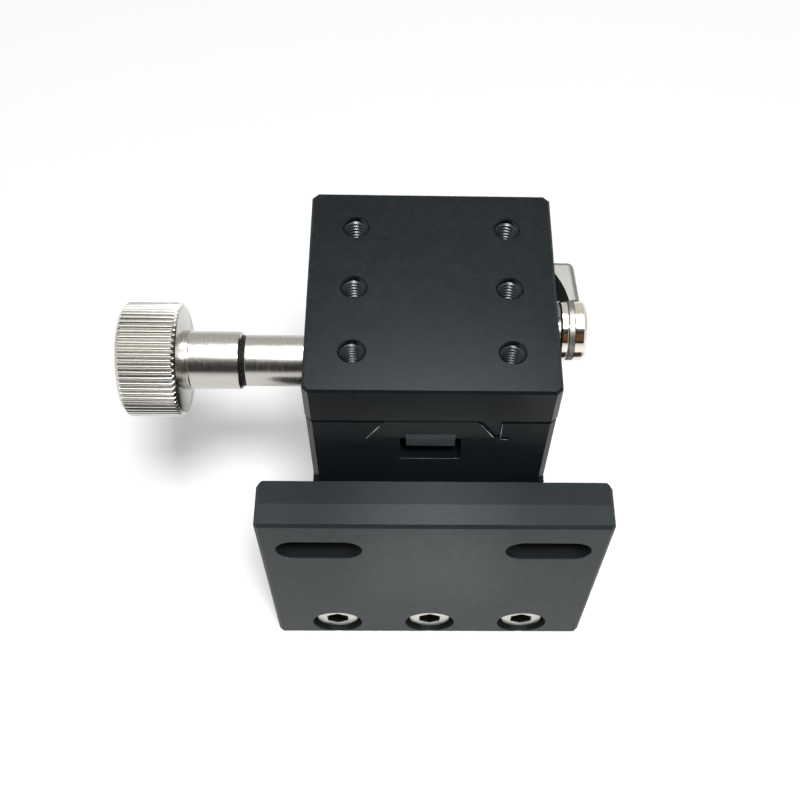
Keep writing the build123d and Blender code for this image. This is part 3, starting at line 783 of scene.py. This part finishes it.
slot_faces = [(0, 1, 3, 2), (4, 6, 7, 5), (0, 4, 5, 1), (2, 3, 7, 6), (0, 2, 6, 4), (1, 5, 7, 3)]
slot_cutter = solid("cap_slot_cutter", slot_corners, slot_faces)
cut = cap.modifiers.new("screwdriver_slot", "BOOLEAN")
cut.operation = "DIFFERENCE"
cut.solver = "EXACT"
cut.object = slot_cutter
bpy.context.view_layer.update()
cap_mesh = bpy.data.meshes.new_from_object(cap.evaluated_get(bpy.context.evaluated_depsgraph_get()))
cap.modifiers.clear()
cap.data = cap_mesh
cap_mesh.shade_smooth()
cap_mesh.set_sharp_from_angle(angle=math.radians(35))
bpy.data.objects.remove(slot_cutter)
settle(cap, nickel, "nickel", "clamp_assembly", "clamp_cap")

# ------------------------------------------------------------------ clamp lever
# Short cast lever with a blasted nickel finish, clamped between the collar and the cap. Its arm
# reaches back beside the table.
lever_grey = brushed("blasted_nickel", (0.28, 0.278, 0.265), (0.38, 0.48), scale=3500.0)
dress("clamp_lever", lever_grey)

# ------------------------------------------------------------------ table top it lies on, light and camera
# A white seamless sheet under the stage. The shadows come from one lamp high in front; the larger
# soft light behind it is seen in reflections alone, and so are the cards round the stage. The
# camera looks down on the stage from the front.
reach = 3.0
sheet_corners = [(-reach, -reach, 0), (reach, -reach, 0), (reach, reach, 0), (-reach, reach, 0)]
sheet = bpy.data.meshes.new("white_sheet")
sheet.from_pydata(sheet_corners, [], [(0, 1, 2, 3)])
floor = bpy.data.objects.new("white_sheet", sheet)
bpy.context.scene.collection.objects.link(floor)
paper, paper_tree, paper_shader = new_finish("white_paper")
paper_tree.links.new(
    ramp(paper_tree, grain(paper_tree, 4.0), [(0.0, (0.80, 0.80, 0.795)), (1.0, (0.82, 0.82, 0.815))]),
    paper_shader.inputs["Base Color"],
)
paper_shader.inputs["Roughness"].default_value = 0.9
paper_shader.inputs["Specular IOR Level"].default_value = 0.1
# The sheet glows a little where it is looked at or mirrored, so that it stays white
paper_lift = 0.28
light_path = paper_tree.nodes.new("ShaderNodeLightPath")
seen = paper_tree.nodes.new("ShaderNodeMath")
seen.operation = "MAXIMUM"
paper_tree.links.new(light_path.outputs["Is Camera Ray"], seen.inputs[0])
paper_tree.links.new(light_path.outputs["Is Glossy Ray"], seen.inputs[1])
lift = paper_tree.nodes.new("ShaderNodeMath")
lift.operation = "MULTIPLY"
lift.inputs[1].default_value = paper_lift
paper_tree.links.new(seen.outputs[0], lift.inputs[0])
paper_shader.inputs["Emission Color"].default_value = (1, 1, 0.995, 1)
paper_tree.links.new(lift.outputs[0], paper_shader.inputs["Emission Strength"])
sheet.materials.append(paper)


def soft_light(name, place, target, size, power):
    """A rectangular soft light that faces a point."""
    lamp = bpy.data.lights.new(name, "AREA")
    lamp.shape = "RECTANGLE"
    lamp.size, lamp.size_y = size
    lamp.energy = power
    holder = bpy.data.objects.new(name, lamp)
    holder.location = place
    holder.rotation_euler = (Vector(target) - Vector(place)).to_track_quat("-Z", "Y").to_euler()
    bpy.context.scene.collection.objects.link(holder)
    return holder


stage_middle = (0, 0, 0.05)
softbox = soft_light("overhead_softbox", (0.02, 0.28, 0.80), stage_middle, (0.19, 0.24), 2.9)
softbox.visible_diffuse = False
soft_light("front_lamp", (0.06, -0.27, 0.80), stage_middle, (0.15, 0.15), 5.5)


def card(name, sides, first, last, tone, glow=1.0):
    """A studio card that only reflections see. It spans x from one side to the other and runs
    straight from its first edge to its last, each given as (y, z), all in metres."""
    corners = [(sides[0], *first), (sides[1], *first), (sides[1], *last), (sides[0], *last)]
    mesh = bpy.data.meshes.new(name)
    mesh.from_pydata(corners, [], [(0, 1, 2, 3)])
    panel = bpy.data.objects.new(name, mesh)
    bpy.context.scene.collection.objects.link(panel)
    panel.visible_camera = panel.visible_shadow = panel.visible_diffuse = False
    finish, tree, shader = new_finish(name)
    shades = [tuple(part * factor for part in tone) for factor in (0.9, 1.1)]
    uneven = ramp(tree, grain(tree, 12.0), [(0.3, shades[0]), (0.7, shades[1])])
    tree.links.new(uneven, shader.inputs["Emission Color"])
    shader.inputs["Emission Strength"].default_value = glow
    shader.inputs["Base Color"].default_value = (0, 0, 0, 1)
    shader.inputs["Specular IOR Level"].default_value = 0
    mesh.materials.append(finish)
    return panel


# Round the camera, from high in front down to the horizon
card("dark_card", (-0.45, 0.45), (-0.27, 0.66), (-0.62, 0.10), (0.030, 0.028, 0.023))
# Beside the camera, for the clamp's plated parts
card("wood_card", (0.07, 0.26), (-0.40, 0.42), (-0.52, 0.20), (0.16, 0.080, 0.042))
# Upright, low behind the stage
card("grey_card", (-0.9, 0.9), (0.62, 0.02), (0.62, 1.10), (0.66, 0.66, 0.64))
# Overhead, from the front lamp back past the soft light
card("ceiling_card", (-0.6, 0.6), (-0.25, 0.84), (0.34, 0.84), (1.0, 1.0, 0.99), glow=2.0)
# On the sheet, close in front of the foot plate
card("bright_patch", (-0.013, 0.017), (-0.041, 0.0006), (-0.057, 0.0006), (0.92, 1.0, 0.97), glow=2.1)
# On the sheet, beyond the bright patch
card("dark_cloth", (-0.030, 0.025), (-0.063, 0.0005), (-0.16, 0.0005), (0.03, 0.036, 0.042))

# A white room all round, dimmer in the light that it sheds than where it is seen or mirrored
room_light = 0.28
world = bpy.data.worlds.new("white_room")
bpy.context.scene.world = world
world.use_nodes = True
room = world.node_tree
background = room.nodes["Background"]
background.inputs["Color"].default_value = (1, 1, 1, 1)
room_path = room.nodes.new("ShaderNodeLightPath")
mirrored = room.nodes.new("ShaderNodeMath")
mirrored.operation = "MAXIMUM"
room.links.new(room_path.outputs["Is Camera Ray"], mirrored.inputs[0])
room.links.new(room_path.outputs["Is Glossy Ray"], mirrored.inputs[1])
through = room.nodes.new("ShaderNodeMath")
through.operation = "MAXIMUM"
room.links.new(mirrored.outputs[0], through.inputs[0])
room.links.new(room_path.outputs["Is Transmission Ray"], through.inputs[1])
level = add_node(room, "ShaderNodeMapRange", To_Min=room_light, To_Max=1.0)
room.links.new(through.outputs[0], level.inputs["Value"])
room.links.new(level.outputs["Result"], background.inputs["Strength"])

picture_size = 800
focal_pixels = 1098.0
centre_pixel = (435.7, 467.4)
camera_place = Vector((-4.16, -110.93, 217.45)) * mm
yaw, pitch, roll = 0.05740, 1.06020, -0.05650
ahead = Vector((math.sin(yaw) * math.cos(pitch), math.cos(yaw) * math.cos(pitch), -math.sin(pitch)))
level_right = Vector((math.cos(yaw), -math.sin(yaw), 0))
level_down = ahead.cross(level_right)
right = level_right * math.cos(roll) + level_down * math.sin(roll)
down = level_down * math.cos(roll) - level_right * math.sin(roll)
lens = bpy.data.cameras.new("stage_camera")
lens.sensor_width = 36.0
lens.lens = focal_pixels / picture_size * lens.sensor_width
lens.shift_x = 0.5 - centre_pixel[0] / picture_size
lens.shift_y = centre_pixel[1] / picture_size - 0.5
lens.clip_start = 0.01
camera = bpy.data.objects.new("stage_camera", lens)
camera.matrix_world = Matrix.Translation(camera_place) @ Matrix((right, -down, -ahead)).transposed().to_4x4()
bpy.context.scene.collection.objects.link(camera)
bpy.context.scene.camera = camera
bpy.context.scene.view_settings.view_transform = "Standard"
